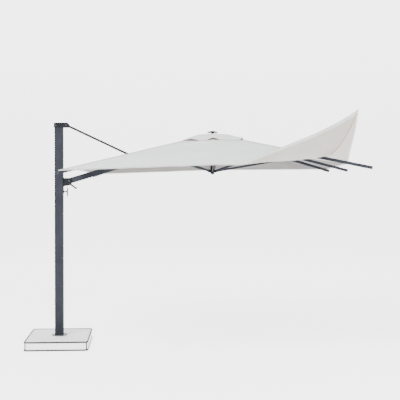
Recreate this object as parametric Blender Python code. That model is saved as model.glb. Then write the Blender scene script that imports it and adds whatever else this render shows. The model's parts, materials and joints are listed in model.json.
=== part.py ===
"""Cantilever parasol: a side mast on a ballast slab, a sliding carriage that carries a beam,
a tie from the mast cap, and a square ribbed canopy that hangs from the beam's end.

Metres, +Z up. The origin is on the mast's axis, on the underside of the slab.
The beam runs along +X. Near is -Y and far is +Y.
"""

import math

import bmesh
import bpy
from mathutils import Matrix, Vector

# Clearances
GAP = 0.0003
SLIDING_GAP = 0.001

# Ballast slab, collar and turning foot
SLAB_SIZE = (0.680, 0.950, 0.095)
SLAB_CORNER = 0.040
SLAB_EDGE = 0.004
SLAB_TURN_DEG = 3.7
COLLAR_INNER_RADIUS = 0.0625
COLLAR_OUTER_RADIUS = 0.080
COLLAR_HEIGHT = 0.010
FOOT_RADIUS = 0.0610
FOOT_THICKNESS = 0.008
FOOT_PLUG_HEIGHT = 0.085

# Mast, an open track section, and its cap
MAST_HALF_X = 0.0465
MAST_HALF_Y = 0.035
MAST_WALL = 0.005
MAST_CORNER = 0.004
TRACK_HALF_WIDTH = 0.008
MAST_BOTTOM_Z = SLAB_SIZE[2] + 0.009
MAST_TOP_Z = 2.4265
CAP_BACK_X = -0.053
CAP_NOSE_X = 0.114
CAP_SLOPE_X = 0.0960
CAP_NOSE_TOP_Z = 2.460
CAP_TOP_Z = 2.481
CAP_HALF_Y = 0.039
CAP_PLUG_HEIGHT = 0.042

# Carriage, its bracket, clamp screw and lever
SHOE_Z = (1.690, 1.866)
SHOE_BACK_X = 0.032
SHOE_HALF_Y = 0.0285
SHOE_NECK_HALF_Y = 0.0075
SHOE_FRONT_X = 0.052
BRACKET_HALF_Y = 0.0275
BRACKET_SLOT_HALF_Y = 0.0195
BRACKET_SLOT_X = 0.068
CLAMP_Z = 1.711
CLAMP_BAR_Z = (1.657, 1.752)
CLAMP_BAR_X = 0.0935
CLAMP_BAR_RADIUS = 0.0065
LEVER_PIVOT = (0.124, 0.0, 1.795)
LEVER_TIP = (0.188, 0.0, 1.750)
LEVER_HALF_Y = 0.009
LEVER_EYE_RADIUS = 0.0095
LEVER_NECK_HALF = 0.0085
LEVER_GRIP_RADIUS = 0.0115

# Linkage pivots, all on axes along Y
BEAM_PIVOT = (0.115, 0.0, 1.830)
TIE_PIVOT = (0.085, 0.0, 2.454)
HUB_PIVOT = (1.630, 0.0, 2.2845)
TIE_FOOT = (0.905, 0.0, 2.067)

# Beam tube and its fittings
BEAM_HALF_HEIGHT = 0.031
BEAM_HALF_Y = 0.022
BEAM_WALL = 0.003
BEAM_CORNER = 0.004
BEAM_ROOT_CLEARANCE = 0.034
BEAM_END_CLEARANCE = 0.045
PLUG_HALF_HEIGHT = 0.0275
PLUG_HALF_Y = 0.0184
PLUG_LENGTH = 0.060
ROOT_EYE_RADIUS = 0.017
ROOT_SHOULDER = 0.014
END_EYE_RADIUS = 0.016
END_FORK_HALF_SLOT = 0.0088

# Tie rod and its fittings
TIE_RADIUS = 0.0120
TIE_BORE_RADIUS = 0.0088
TIE_EYE_RADIUS = 0.0125
TIE_EYE_HALF_Y = 0.006
TIE_EYE_LENGTH = 0.046
TIE_PLUG_HALF_HEIGHT = 0.0048
TIE_PLUG_LENGTH = 0.034
FORK_HALF_HEIGHT = 0.0125
FORK_INNER_HALF_Y = 0.0235
FORK_OUTER_HALF_Y = 0.0285
FORK_ROOT = 0.092
FORK_LENGTH = 0.107
FORK_TOE = 0.014

# Pins: shank radius, bore radius, head radius and head thickness
BEAM_PIN = (0.0060, 0.0064, 0.0100, 0.0035)
SMALL_PIN = (0.0050, 0.0054, 0.0090, 0.0030)
LEVER_PIN = (0.0040, 0.0044, 0.0070, 0.0025)

# Hub
HUB_X = 1.720
CROWN_Z = (2.313, 2.337)
CROWN_RADIUS = 0.065
CROWN_SLOT_START = 0.038
CROWN_SLOT_HALF = 0.005
POST_RADIUS = 0.014
POST_BOTTOM_Z = 2.000
LUG_HALF_Y = 0.008
LUG_EYE_RADIUS = 0.013
FINIAL_RADIUS = 0.060
FINIAL_Z = (2.3695, 2.389)
RUNNER_Z = (1.904, 1.998)
RUNNER_FLANGE_Z = (1.925, 1.955)
RUNNER_FLANGE_RADIUS = 0.054
RUNNER_BODY_RADIUS = 0.024
RUNNER_SLOT_START = 0.0200
RUNNER_SLOT_HALF = 0.0052

# Ribs and struts
RIB_PIVOT_RADIUS = 0.052
RIB_PIVOT_Z = 2.325
RIB_HALF_WIDTH = 0.008
RIB_HALF_HEIGHT = 0.015
TONGUE_HALF_WIDTH = 0.004
TONGUE_RADIUS = 0.010
TONGUE_LENGTH = 0.030
EAR_DROP = 0.0135
EAR_HALF_LENGTH = 0.010
EAR_DEPTH = 0.024
RIB_TIP_LENGTH = 0.014
RIB_TIP_HALF = (0.0092, 0.0157)
STRUT_STATION = 0.850
STRUT_RUNNER_RADIUS = 0.041
STRUT_RUNNER_Z = 1.940
STRUT_HALF_WIDTH = 0.0047
STRUT_EYE_RADIUS = 0.0110

# Canopy
CANOPY_HALF = 1.500
CANOPY_LEAN = 0.016
FABRIC_THICKNESS = 0.003
FABRIC_ABOVE_RIB = 0.020
SEAM_SHARE = 0.002
VENT_HALF = 0.200
FLAP_HALF = (0.030, 0.325)
FLAP_LIFT = 0.016
SLIT_X = (0.680, 0.960)
SLIT_HALF_WIDTH = 0.040
SLIT_CLOSED_HALF = 0.001
LOOSE_CORNER = (3.104, -1.470, 2.511)
FOLD_AT_HEM = (1.930, -1.500)
FOLD_AT_SEAM = (2.830, -1.110)
FOLD_AT_RIGHT = (3.220, -0.100)
SEAM_LIFT_POWER = 1.45
RIGHT_LIFT_FROM = 0.65
RIGHT_HEM_LIFT = 0.050
SLIT_PANEL_STEPS = 26
PLAIN_PANEL_STEPS = 9
PLAIN_PANEL_ACROSS = 3
LOOSE_PANEL_STEPS = 12
LOOSE_PANEL_ACROSS = 6

ROUND_STEPS = 16
ARC_STEPS = 6
DEGREES = math.pi / 180.0

# Each canopy ray: azimuth in degrees, whether it reaches a corner, and its tip's height before
# the canopy's lean. The left middle has no rib.
RAYS = {
    "left_mid": (180, False, 1.957),
    "near_left": (225, True, 1.927),
    "near_mid": (270, False, 1.957),
    "near_right": (315, True, 1.927),
    "right_mid": (0, False, 1.925),
    "far_right": (45, True, 1.943),
    "far_mid": (90, False, 1.957),
    "far_left": (135, True, 1.927),
}
RIBS = [name for name in RAYS if name != "left_mid"]

# Each canopy panel: the middle ray and the corner ray that bound it.
PANELS = {
    "canopy_left_near": ("left_mid", "near_left"),
    "canopy_near_left": ("near_mid", "near_left"),
    "canopy_near_right": ("near_mid", "near_right"),
    "canopy_right_near": ("right_mid", "near_right"),
    "canopy_right_far": ("right_mid", "far_right"),
    "canopy_far_right": ("far_mid", "far_right"),
    "canopy_far_left": ("far_mid", "far_left"),
    "canopy_left_far": ("left_mid", "far_left"),
}

# Each vent flap: the middle ray, the corner ray and the other middle ray that it spans.
FLAPS = {
    "vent_near_left": ("left_mid", "near_left", "near_mid"),
    "vent_near_right": ("near_mid", "near_right", "right_mid"),
    "vent_far_right": ("right_mid", "far_right", "far_mid"),
    "vent_far_left": ("far_mid", "far_left", "left_mid"),
}

# Colour, roughness and metallic value of each material
LOOKS = {
    "cast_stone": ((0.74, 0.74, 0.73), 0.85, 0.0),
    "anthracite": ((0.095, 0.102, 0.122), 0.45, 0.3),
    "dark_fitting": ((0.040, 0.043, 0.050), 0.50, 0.2),
    "black_grip": ((0.020, 0.021, 0.024), 0.60, 0.0),
    "zinc_pin": ((0.45, 0.46, 0.48), 0.35, 0.9),
    "canvas": ((0.74, 0.73, 0.70), 0.90, 0.0),
}


# ---- Scene, materials and bodies ----

def clear_scene():
    for item in list(bpy.data.objects):
        bpy.data.objects.remove(item, do_unlink=True)


def make_material(name):
    colour, roughness, metallic = LOOKS[name]
    material = bpy.data.materials.new(name)
    material.use_nodes = True
    shader = material.node_tree.nodes["Principled BSDF"]
    shader.inputs["Base Color"].default_value = (*colour, 1.0)
    shader.inputs["Roughness"].default_value = roughness
    shader.inputs["Metallic"].default_value = metallic
    material.diffuse_color = (*colour, 1.0)
    return material


def make_body(name, location):
    """An empty on the joint's axis that the body's pieces hang from."""
    empty = bpy.data.objects.new(name, None)
    empty.location = location
    empty.empty_display_size = 0.05
    bpy.context.collection.objects.link(empty)
    return empty


# ---- Frames, outlines and solids ----

def side_frame(origin=(0.0, 0.0, 0.0), toward=(1.0, 0.0, 0.0)):
    """A frame in a vertical plane: u along toward, v square to it and up, w across the plane."""
    along = Vector(toward).normalized()
    level = Vector((along.x, along.y, 0.0))
    if level.length < 1e-6:
        level = Vector((1.0, 0.0, 0.0))
    across = Vector((0.0, 0.0, 1.0)).cross(level).normalized()
    upward = along.cross(across).normalized()
    if upward.z < 0.0:
        upward = -upward
    return Vector(origin), along, upward, across


def plan_frame(origin=(0.0, 0.0, 0.0)):
    """A frame seen from above: u along +X, v along +Y, w along +Z."""
    return Vector(origin), Vector((1, 0, 0)), Vector((0, 1, 0)), Vector((0, 0, 1))


def axle_frame(origin):
    """A frame that turns about an axis along +Y."""
    return Vector(origin), Vector((0, 0, 1)), Vector((1, 0, 0)), Vector((0, 1, 0))


def across_frame(origin, along):
    """A frame with w along the given direction, u level and v square to both."""
    _, direction, upward, across = side_frame(origin, along)
    return Vector(origin), across, upward, direction


def place(frame, u, v, w):
    origin, along, upward, across = frame
    return origin + along * u + upward * v + across * w


def arc(centre, radius, start_deg, end_deg, steps=ARC_STEPS):
    points = []
    for index in range(steps + 1):
        angle = (start_deg + (end_deg - start_deg) * index / steps) * DEGREES
        points.append((centre[0] + radius * math.cos(angle), centre[1] + radius * math.sin(angle)))
    return points


def rounded_rectangle(half_u, half_v, radius, steps=3):
    corners = ((1, 1, 0), (-1, 1, 90), (-1, -1, 180), (1, -1, 270))
    points = []
    for sign_u, sign_v, start in corners:
        centre = (sign_u * (half_u - radius), sign_v * (half_v - radius))
        points += arc(centre, radius, start, start + 90, steps)
    return points


def circle(radius, steps=ROUND_STEPS):
    return arc((0.0, 0.0), radius, 0.0, 360.0 * (steps - 1) / steps, steps - 1)


def extrusion(outline, frame, start, end):
    """A solid with the outline in u and v, run along w from start to end."""
    count = len(outline)
    points = [place(frame, u, v, start) for u, v in outline]
    points += [place(frame, u, v, end) for u, v in outline]
    faces = [list(range(count)), list(range(2 * count - 1, count - 1, -1))]
    for index in range(count):
        after = (index + 1) % count
        faces.append([index, index + count, after + count, after])
    return points, faces


def tube(outer, inner, frame, start, end):
    """A hollow section, open at both ends, run along w from start to end."""
    count = len(outer)
    loops = [(outer, start), (outer, end), (inner, end), (inner, start)]
    points = [place(frame, u, v, w) for outline, w in loops for u, v in outline]
    faces = []
    for ring in range(4):
        base = ring * count
        following = ((ring + 1) % 4) * count
        for index in range(count):
            after = (index + 1) % count
            faces.append([base + index, following + index, following + after, base + after])
    return points, faces


def turned(profile, frame, steps=ROUND_STEPS):
    """A solid of revolution about w. The profile is (radius, w) and starts and ends on the axis."""
    points = [place(frame, 0.0, 0.0, profile[0][1])]
    for radius, height in profile[1:-1]:
        for u, v in circle(radius, steps):
            points.append(place(frame, u, v, height))
    points.append(place(frame, 0.0, 0.0, profile[-1][1]))
    rings = len(profile) - 2
    last = len(points) - 1
    faces = []
    for index in range(steps):
        after = (index + 1) % steps
        faces.append([0, 1 + after, 1 + index])
        for ring in range(rings - 1):
            base = 1 + ring * steps
            faces.append([base + index, base + after, base + steps + after, base + steps + index])
        base = 1 + (rings - 1) * steps
        faces.append([base + index, base + after, last])
    return points, faces


def box(frame, low, high):
    outline = [(low[0], low[1]), (high[0], low[1]), (high[0], high[1]), (low[0], high[1])]
    return extrusion(outline, frame, low[2], high[2])


def merged(solids):
    """Several separate solids in one mesh, for a cutter with more than one block."""
    points = []
    faces = []
    for solid_points, solid_faces in solids:
        offset = len(points)
        points += solid_points
        faces += [[index + offset for index in face] for face in solid_faces]
    return points, faces


def make_mesh(name, solid):
    mesh = bpy.data.meshes.new(name)
    mesh.from_pydata([tuple(point) for point in solid[0]], [], solid[1])
    shape = bmesh.new()
    shape.from_mesh(mesh)
    bmesh.ops.recalc_face_normals(shape, faces=shape.faces)
    shape.to_mesh(mesh)
    shape.free()
    mesh.shade_smooth()
    mesh.set_sharp_from_angle(angle=35 * DEGREES)
    return mesh


def add_piece(name, solid, material, body):
    """A named sub-part in world coordinates, hung from its body's empty."""
    piece = bpy.data.objects.new(name, make_mesh(name, solid))
    piece.data.materials.append(material)
    bpy.context.collection.objects.link(piece)
    piece.parent = body
    piece.matrix_parent_inverse = Matrix.Translation(-body.location)
    return piece


def add_boolean(piece, solid, operation):
    """Cut the piece with a solid, or join the solid to it."""
    tool = bpy.data.objects.new(piece.name + "_" + operation.lower(), make_mesh("tool", solid))
    tool.hide_render = True
    tool.display_type = "WIRE"
    bpy.context.collection.objects.link(tool)
    modifier = piece.modifiers.new(operation.title(), "BOOLEAN")
    modifier.operation = operation
    modifier.solver = "EXACT"
    modifier.object = tool


def cut(piece, solid):
    add_boolean(piece, solid, "DIFFERENCE")


def join(piece, solid):
    add_boolean(piece, solid, "UNION")


def bevel_edges(piece, width, segments=2):
    modifier = piece.modifiers.new("Bevel", "BEVEL")
    modifier.width = width
    modifier.segments = segments
    modifier.limit_method = "ANGLE"
    modifier.angle_limit = 50 * DEGREES


def bore(centre, radius, half_length):
    """A cutter for a cross hole along Y."""
    return extrusion(circle(radius), axle_frame(centre), -half_length, half_length)


def pin(centre, sizes, grip_half):
    """A headed pin along Y. The grip is the stack of parts between its heads."""
    shank, _, head, thickness = sizes
    inner = grip_half + GAP
    outer = inner + thickness
    profile = [(0, -outer), (head, -outer), (head, -inner), (shank, -inner)]
    profile += [(shank, inner), (head, inner), (head, outer), (0, outer)]
    return turned(profile, axle_frame(centre))


# ---- Base ----

def build_slab(materials, body):
    length, width, height = SLAB_SIZE
    outline = rounded_rectangle(length / 2, width / 2, SLAB_CORNER, 6)
    turn = Matrix.Rotation(SLAB_TURN_DEG * DEGREES, 2)
    outline = [tuple(turn @ Vector(point)) for point in outline]
    slab = add_piece("ballast_slab", extrusion(outline, plan_frame(), 0.0, height),
                     materials["cast_stone"], body)
    bevel_edges(slab, SLAB_EDGE)


def build_collar(materials, body):
    bottom = SLAB_SIZE[2] + GAP
    top = bottom + COLLAR_HEIGHT
    ring = tube(circle(COLLAR_OUTER_RADIUS, 32), circle(COLLAR_INNER_RADIUS, 32),
                plan_frame(), bottom, top)
    add_piece("base_collar", ring, materials["cast_stone"], body)


# ---- Mast ----

def mast_outline():
    """The mast's section from above: a box open along a track in its +X face."""
    inner_x = MAST_HALF_X - MAST_WALL
    inner_y = MAST_HALF_Y - MAST_WALL
    centre_x = MAST_HALF_X - MAST_CORNER
    centre_y = MAST_HALF_Y - MAST_CORNER
    outline = [(MAST_HALF_X, TRACK_HALF_WIDTH)]
    outline += arc((centre_x, centre_y), MAST_CORNER, 0, 90, 3)
    outline += arc((-centre_x, centre_y), MAST_CORNER, 90, 180, 3)
    outline += arc((-centre_x, -centre_y), MAST_CORNER, 180, 270, 3)
    outline += arc((centre_x, -centre_y), MAST_CORNER, 270, 360, 3)
    outline += [(MAST_HALF_X, -TRACK_HALF_WIDTH), (inner_x, -TRACK_HALF_WIDTH)]
    outline += [(inner_x, -inner_y), (-inner_x, -inner_y), (-inner_x, inner_y), (inner_x, inner_y)]
    outline += [(inner_x, TRACK_HALF_WIDTH)]
    return outline


def mast_plug(low, high):
    """A block that fits inside the mast's section."""
    half_x = MAST_HALF_X - MAST_WALL - SLIDING_GAP
    half_y = MAST_HALF_Y - MAST_WALL - SLIDING_GAP
    return box(plan_frame(), (-half_x, -half_y, low), (half_x, half_y, high))


def build_mast(materials, body):
    tube_solid = extrusion(mast_outline(), plan_frame(), MAST_BOTTOM_Z, MAST_TOP_Z)
    add_piece("mast_tube", tube_solid, materials["anthracite"], body)
    top = MAST_BOTTOM_Z - GAP
    foot = extrusion(circle(FOOT_RADIUS, 32), plan_frame(), top - FOOT_THICKNESS, top)
    piece = add_piece("turning_foot", foot, materials["cast_stone"], body)
    join(piece, mast_plug(top - GAP, top + FOOT_PLUG_HEIGHT))


def build_cap(materials, body):
    low = MAST_TOP_Z + GAP
    outline = [(CAP_BACK_X, low), (CAP_NOSE_X, low), (CAP_NOSE_X, CAP_NOSE_TOP_Z)]
    outline += [(CAP_SLOPE_X, CAP_TOP_Z), (CAP_BACK_X, CAP_TOP_Z)]
    cap = add_piece("mast_cap", extrusion(outline, side_frame(), -CAP_HALF_Y, CAP_HALF_Y),
                    materials["dark_fitting"], body)
    bevel_edges(cap, 0.003)
    join(cap, mast_plug(low - CAP_PLUG_HEIGHT, low + GAP))
    slot_half = TIE_EYE_HALF_Y + SLIDING_GAP
    slot_back = TIE_PIVOT[0] - TIE_EYE_RADIUS - SLIDING_GAP * 5
    cut(cap, box(side_frame(), (slot_back, low - 0.02, -slot_half),
                 (0.2, CAP_TOP_Z + 0.01, slot_half)))
    cut(cap, bore(TIE_PIVOT, SMALL_PIN[1], 0.06))
    add_piece("tie_upper_pin", pin(TIE_PIVOT, SMALL_PIN, CAP_HALF_Y), materials["zinc_pin"], body)


# ---- Carriage ----

def build_carriage(materials, body):
    inner_face = MAST_HALF_X - MAST_WALL - GAP * 2
    shoe = [(SHOE_BACK_X, -SHOE_HALF_Y), (inner_face, -SHOE_HALF_Y)]
    shoe += [(inner_face, -SHOE_NECK_HALF_Y), (SHOE_FRONT_X, -SHOE_NECK_HALF_Y)]
    shoe += [(SHOE_FRONT_X, SHOE_NECK_HALF_Y), (inner_face, SHOE_NECK_HALF_Y)]
    shoe += [(inner_face, SHOE_HALF_Y), (SHOE_BACK_X, SHOE_HALF_Y)]
    add_piece("carriage_shoe", extrusion(shoe, plan_frame(), *SHOE_Z), materials["black_grip"], body)

    back = SHOE_FRONT_X + GAP
    profile = [(back, 1.770), (0.112, 1.780), (0.132, 1.784), (0.136, 1.790), (0.136, 1.850)]
    profile += [(0.123, 1.863), (back, 1.863)]
    bracket = extrusion(profile, side_frame(), -BRACKET_HALF_Y, BRACKET_HALF_Y)
    piece = add_piece("carriage_bracket", bracket, materials["dark_fitting"], body)
    slot = box(side_frame(), (BRACKET_SLOT_X, 1.7, -BRACKET_SLOT_HALF_Y),
               (0.2, 1.9, BRACKET_SLOT_HALF_Y))
    cut(piece, slot)
    cut(piece, bore(BEAM_PIVOT, BEAM_PIN[1], 0.05))
    cut(piece, bore(LEVER_PIVOT, LEVER_PIN[1], 0.05))
    add_piece("beam_pin", pin(BEAM_PIVOT, BEAM_PIN, BRACKET_HALF_Y), materials["zinc_pin"], body)
    add_piece("lever_pin", pin(LEVER_PIVOT, LEVER_PIN, BRACKET_HALF_Y), materials["zinc_pin"], body)


def build_clamp(materials, body):
    start = SHOE_FRONT_X + GAP
    end = CLAMP_BAR_X - CLAMP_BAR_RADIUS - GAP
    profile = [(0, start), (0.013, start), (0.013, start + 0.006), (0.007, start + 0.008)]
    profile += [(0.007, end - 0.010), (0.009, end - 0.008), (0.009, end), (0, end)]
    frame = across_frame((0.0, 0.0, CLAMP_Z), (1.0, 0.0, 0.0))
    add_piece("clamp_screw", turned(profile, frame), materials["zinc_pin"], body)
    low, high = CLAMP_BAR_Z
    rounding = 0.004
    bar = [(0, low), (CLAMP_BAR_RADIUS - rounding, low), (CLAMP_BAR_RADIUS, low + rounding)]
    bar += [(CLAMP_BAR_RADIUS, high - rounding), (CLAMP_BAR_RADIUS - rounding, high), (0, high)]
    add_piece("clamp_handle", turned(bar, plan_frame((CLAMP_BAR_X, 0.0, 0.0))),
              materials["black_grip"], body)


def build_lever(materials, body):
    direction = Vector(LEVER_TIP) - Vector(LEVER_PIVOT)
    length = direction.length
    frame = side_frame(LEVER_PIVOT, direction)
    neck = length - LEVER_GRIP_RADIUS - GAP * 2
    outline = arc((0.0, 0.0), LEVER_EYE_RADIUS, 90, 270)
    outline += [(neck, -LEVER_NECK_HALF), (neck, LEVER_NECK_HALF)]
    lever = add_piece("lever_arm", extrusion(outline, frame, -LEVER_HALF_Y, LEVER_HALF_Y),
                      materials["dark_fitting"], body)
    cut(lever, bore(LEVER_PIVOT, LEVER_PIN[1], 0.05))
    half = LEVER_HALF_Y + 0.006
    profile = [(0, -half), (LEVER_GRIP_RADIUS - 0.004, -half), (LEVER_GRIP_RADIUS, 0.004 - half)]
    profile += [(LEVER_GRIP_RADIUS, half - 0.004), (LEVER_GRIP_RADIUS - 0.004, half), (0, half)]
    add_piece("lever_grip", turned(profile, axle_frame(LEVER_TIP)), materials["black_grip"], body)


# ---- Beam ----

def build_beam(materials, body):
    direction = Vector(HUB_PIVOT) - Vector(BEAM_PIVOT)
    length = direction.length
    frame = side_frame(BEAM_PIVOT, direction)
    section = across_frame(BEAM_PIVOT, direction)
    start = BEAM_ROOT_CLEARANCE
    end = length - BEAM_END_CLEARANCE
    outer = rounded_rectangle(BEAM_HALF_Y, BEAM_HALF_HEIGHT, BEAM_CORNER)
    inner = rounded_rectangle(BEAM_HALF_Y - BEAM_WALL, BEAM_HALF_HEIGHT - BEAM_WALL, 0.001)
    add_piece("beam_tube", tube(outer, inner, section, start, end), materials["anthracite"], body)

    root = arc((0.0, 0.0), ROOT_EYE_RADIUS, 90, 270)
    shoulder = [(ROOT_SHOULDER / 2, ROOT_EYE_RADIUS), (ROOT_SHOULDER, BEAM_HALF_HEIGHT)]
    shoulder += [(start - GAP, BEAM_HALF_HEIGHT), (start - GAP, PLUG_HALF_HEIGHT)]
    shoulder += [(start + PLUG_LENGTH, PLUG_HALF_HEIGHT)]
    root += [(along, -height) for along, height in shoulder]
    root += reversed(shoulder)
    piece = add_piece("beam_root_fitting", extrusion(root, frame, -PLUG_HALF_Y, PLUG_HALF_Y),
                      materials["dark_fitting"], body)
    cut(piece, bore(BEAM_PIVOT, BEAM_PIN[1], 0.05))

    tip = arc((length, 0.0), END_EYE_RADIUS, -90, 90)
    tip += [(end + 0.013, END_EYE_RADIUS), (end + GAP, PLUG_HALF_HEIGHT)]
    tip += [(end - PLUG_LENGTH, PLUG_HALF_HEIGHT), (end - PLUG_LENGTH, -PLUG_HALF_HEIGHT)]
    tip += [(end + GAP, -PLUG_HALF_HEIGHT), (end + 0.013, -END_EYE_RADIUS)]
    piece = add_piece("beam_end_fork", extrusion(tip, frame, -PLUG_HALF_Y, PLUG_HALF_Y),
                      materials["dark_fitting"], body)
    slot_start = length - 0.026
    cut(piece, box(frame, (slot_start, -0.04, -END_FORK_HALF_SLOT),
                   (length + 0.04, 0.04, END_FORK_HALF_SLOT)))
    cut(piece, bore(HUB_PIVOT, SMALL_PIN[1], 0.05))
    add_piece("hub_pin", pin(HUB_PIVOT, SMALL_PIN, PLUG_HALF_Y), materials["zinc_pin"], body)


# ---- Tie ----

def build_tie(materials, body):
    direction = Vector(TIE_FOOT) - Vector(TIE_PIVOT)
    length = direction.length
    frame = side_frame(TIE_PIVOT, direction)
    section = across_frame(TIE_PIVOT, direction)
    rod_end = length - FORK_LENGTH - GAP
    rod = tube(circle(TIE_RADIUS), circle(TIE_BORE_RADIUS), section, TIE_EYE_LENGTH + GAP, rod_end)
    add_piece("tie_rod", rod, materials["anthracite"], body)

    eye = arc((0.0, 0.0), TIE_EYE_RADIUS, 90, 270)
    eye += [(TIE_EYE_LENGTH, -TIE_RADIUS), (TIE_EYE_LENGTH, -TIE_PLUG_HALF_HEIGHT)]
    eye += [(TIE_EYE_LENGTH + TIE_PLUG_LENGTH, -TIE_PLUG_HALF_HEIGHT)]
    eye += [(TIE_EYE_LENGTH + TIE_PLUG_LENGTH, TIE_PLUG_HALF_HEIGHT)]
    eye += [(TIE_EYE_LENGTH, TIE_PLUG_HALF_HEIGHT), (TIE_EYE_LENGTH, TIE_RADIUS)]
    piece = add_piece("tie_upper_eye", extrusion(eye, frame, -TIE_EYE_HALF_Y, TIE_EYE_HALF_Y),
                      materials["dark_fitting"], body)
    cut(piece, bore(TIE_PIVOT, SMALL_PIN[1], 0.05))

    back = length - FORK_LENGTH
    fork = box(frame, (back, -FORK_HALF_HEIGHT, -FORK_OUTER_HALF_Y),
               (length + FORK_TOE, FORK_HALF_HEIGHT, FORK_OUTER_HALF_Y))
    piece = add_piece("tie_lower_fork", fork, materials["dark_fitting"], body)
    bevel_edges(piece, 0.003)
    join(piece, box(frame, (back - TIE_PLUG_LENGTH, -TIE_PLUG_HALF_HEIGHT, -TIE_EYE_HALF_Y),
                    (back + GAP * 10, TIE_PLUG_HALF_HEIGHT, TIE_EYE_HALF_Y)))
    cut(piece, box(frame, (length - FORK_ROOT, -0.03, -FORK_INNER_HALF_Y),
                   (length + 0.05, 0.03, FORK_INNER_HALF_Y)))


# ---- Hub ----

def ray_direction(name):
    azimuth = RAYS[name][0] * DEGREES
    return Vector((math.cos(azimuth), math.sin(azimuth), 0.0))


def radial_slots(names, start, end, half_width, low, high):
    """One cutter with a block along each ray, about the hub's axis."""
    blocks = []
    for name in names:
        frame = side_frame((HUB_X, 0.0, 0.0), ray_direction(name))
        blocks.append(box(frame, (start, low, -half_width), (end, high, half_width)))
    return merged(blocks)


def build_hub(materials, body):
    centre = plan_frame((HUB_X, 0.0, 0.0))
    low, high = CROWN_Z
    chamfer = 0.002
    profile = [(0, low), (CROWN_RADIUS - chamfer, low), (CROWN_RADIUS, low + chamfer)]
    profile += [(CROWN_RADIUS, high - chamfer), (CROWN_RADIUS - chamfer, high), (0, high)]
    crown = add_piece("hub_crown", turned(profile, centre, 32), materials["dark_fitting"], body)
    cut(crown, radial_slots(RIBS, CROWN_SLOT_START, 0.09, CROWN_SLOT_HALF, low - 0.01, high + 0.01))

    post = extrusion(circle(POST_RADIUS), centre, POST_BOTTOM_Z + GAP, low - GAP)
    piece = add_piece("hub_post", post, materials["anthracite"], body)
    lug = arc((HUB_PIVOT[0], HUB_PIVOT[2]), LUG_EYE_RADIUS, 90, 270)
    lug += [(HUB_X, HUB_PIVOT[2] - 0.024), (HUB_X, HUB_PIVOT[2] + 0.020)]
    join(piece, extrusion(lug, side_frame(), -LUG_HALF_Y, LUG_HALF_Y))
    cut(piece, bore(HUB_PIVOT, SMALL_PIN[1], 0.05))

    under, top = FINIAL_Z
    profile = [(0, high + GAP), (0.012, high + GAP), (0.012, under), (FINIAL_RADIUS - 0.003, under)]
    profile += [(FINIAL_RADIUS, under + 0.003), (FINIAL_RADIUS - 0.002, under + 0.008)]
    profile += [(FINIAL_RADIUS * 0.6, top - 0.004), (FINIAL_RADIUS * 0.25, top), (0, top)]
    add_piece("hub_finial", turned(profile, centre, 32), materials["dark_fitting"], body)


def build_runner(materials, body):
    centre = plan_frame((HUB_X, 0.0, 0.0))
    low, high = RUNNER_Z
    flange_low, flange_high = RUNNER_FLANGE_Z
    profile = [(0, low), (0.016, low), (0.022, low + 0.008), (0.022, flange_low)]
    profile += [(RUNNER_FLANGE_RADIUS, flange_low), (RUNNER_FLANGE_RADIUS, flange_high)]
    profile += [(RUNNER_BODY_RADIUS, flange_high), (RUNNER_BODY_RADIUS, high), (0, high)]
    runner = add_piece("runner", turned(profile, centre, 32), materials["dark_fitting"], body)
    cut(runner, radial_slots(RIBS, RUNNER_SLOT_START, 0.08, RUNNER_SLOT_HALF,
                             low - 0.01, flange_high + 0.012))


# ---- Ribs and struts ----

def tip_radius(name):
    return CANOPY_HALF * math.sqrt(2.0) if RAYS[name][1] else CANOPY_HALF


def rib_fall(name):
    """The rib's drop for each metre of radius, from its pivot to its tip."""
    radius = tip_radius(name)
    tip_z = RAYS[name][2] + CANOPY_LEAN * radius * math.cos(RAYS[name][0] * DEGREES)
    return (RIB_PIVOT_Z - tip_z) / (radius - RIB_PIVOT_RADIUS)


def rib_pivot(name):
    return Vector((HUB_X, 0.0, RIB_PIVOT_Z)) + ray_direction(name) * RIB_PIVOT_RADIUS


def rib_direction(name):
    direction = ray_direction(name)
    direction.z = -rib_fall(name)
    return direction.normalized()


def rib_length(name):
    return (tip_radius(name) - RIB_PIVOT_RADIUS) * math.sqrt(1.0 + rib_fall(name) ** 2)


def strut_head(name):
    """The strut's pivot between the ears under the rib."""
    frame = side_frame(rib_pivot(name), rib_direction(name))
    return place(frame, STRUT_STATION, -RIB_HALF_HEIGHT - EAR_DROP, 0.0)


def strut_foot(name):
    """The strut's end in the runner."""
    foot = Vector((HUB_X, 0.0, STRUT_RUNNER_Z)) + ray_direction(name) * STRUT_RUNNER_RADIUS
    return foot


def rib_outline(length):
    """The rib from the side, with the ears for its strut on the underside."""
    below = -RIB_HALF_HEIGHT
    outline = arc((0.0, 0.0), TONGUE_RADIUS, 90, 270)
    outline += [(TONGUE_LENGTH - 0.002, -TONGUE_RADIUS), (TONGUE_LENGTH, below)]
    outline += [(STRUT_STATION - EAR_HALF_LENGTH - 0.008, below)]
    outline += [(STRUT_STATION - EAR_HALF_LENGTH, below - EAR_DEPTH)]
    outline += [(STRUT_STATION + EAR_HALF_LENGTH, below - EAR_DEPTH)]
    outline += [(STRUT_STATION + EAR_HALF_LENGTH + 0.008, below)]
    outline += [(length, below), (length, RIB_HALF_HEIGHT), (TONGUE_LENGTH, RIB_HALF_HEIGHT)]
    outline += [(TONGUE_LENGTH - 0.002, TONGUE_RADIUS)]
    return outline


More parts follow.
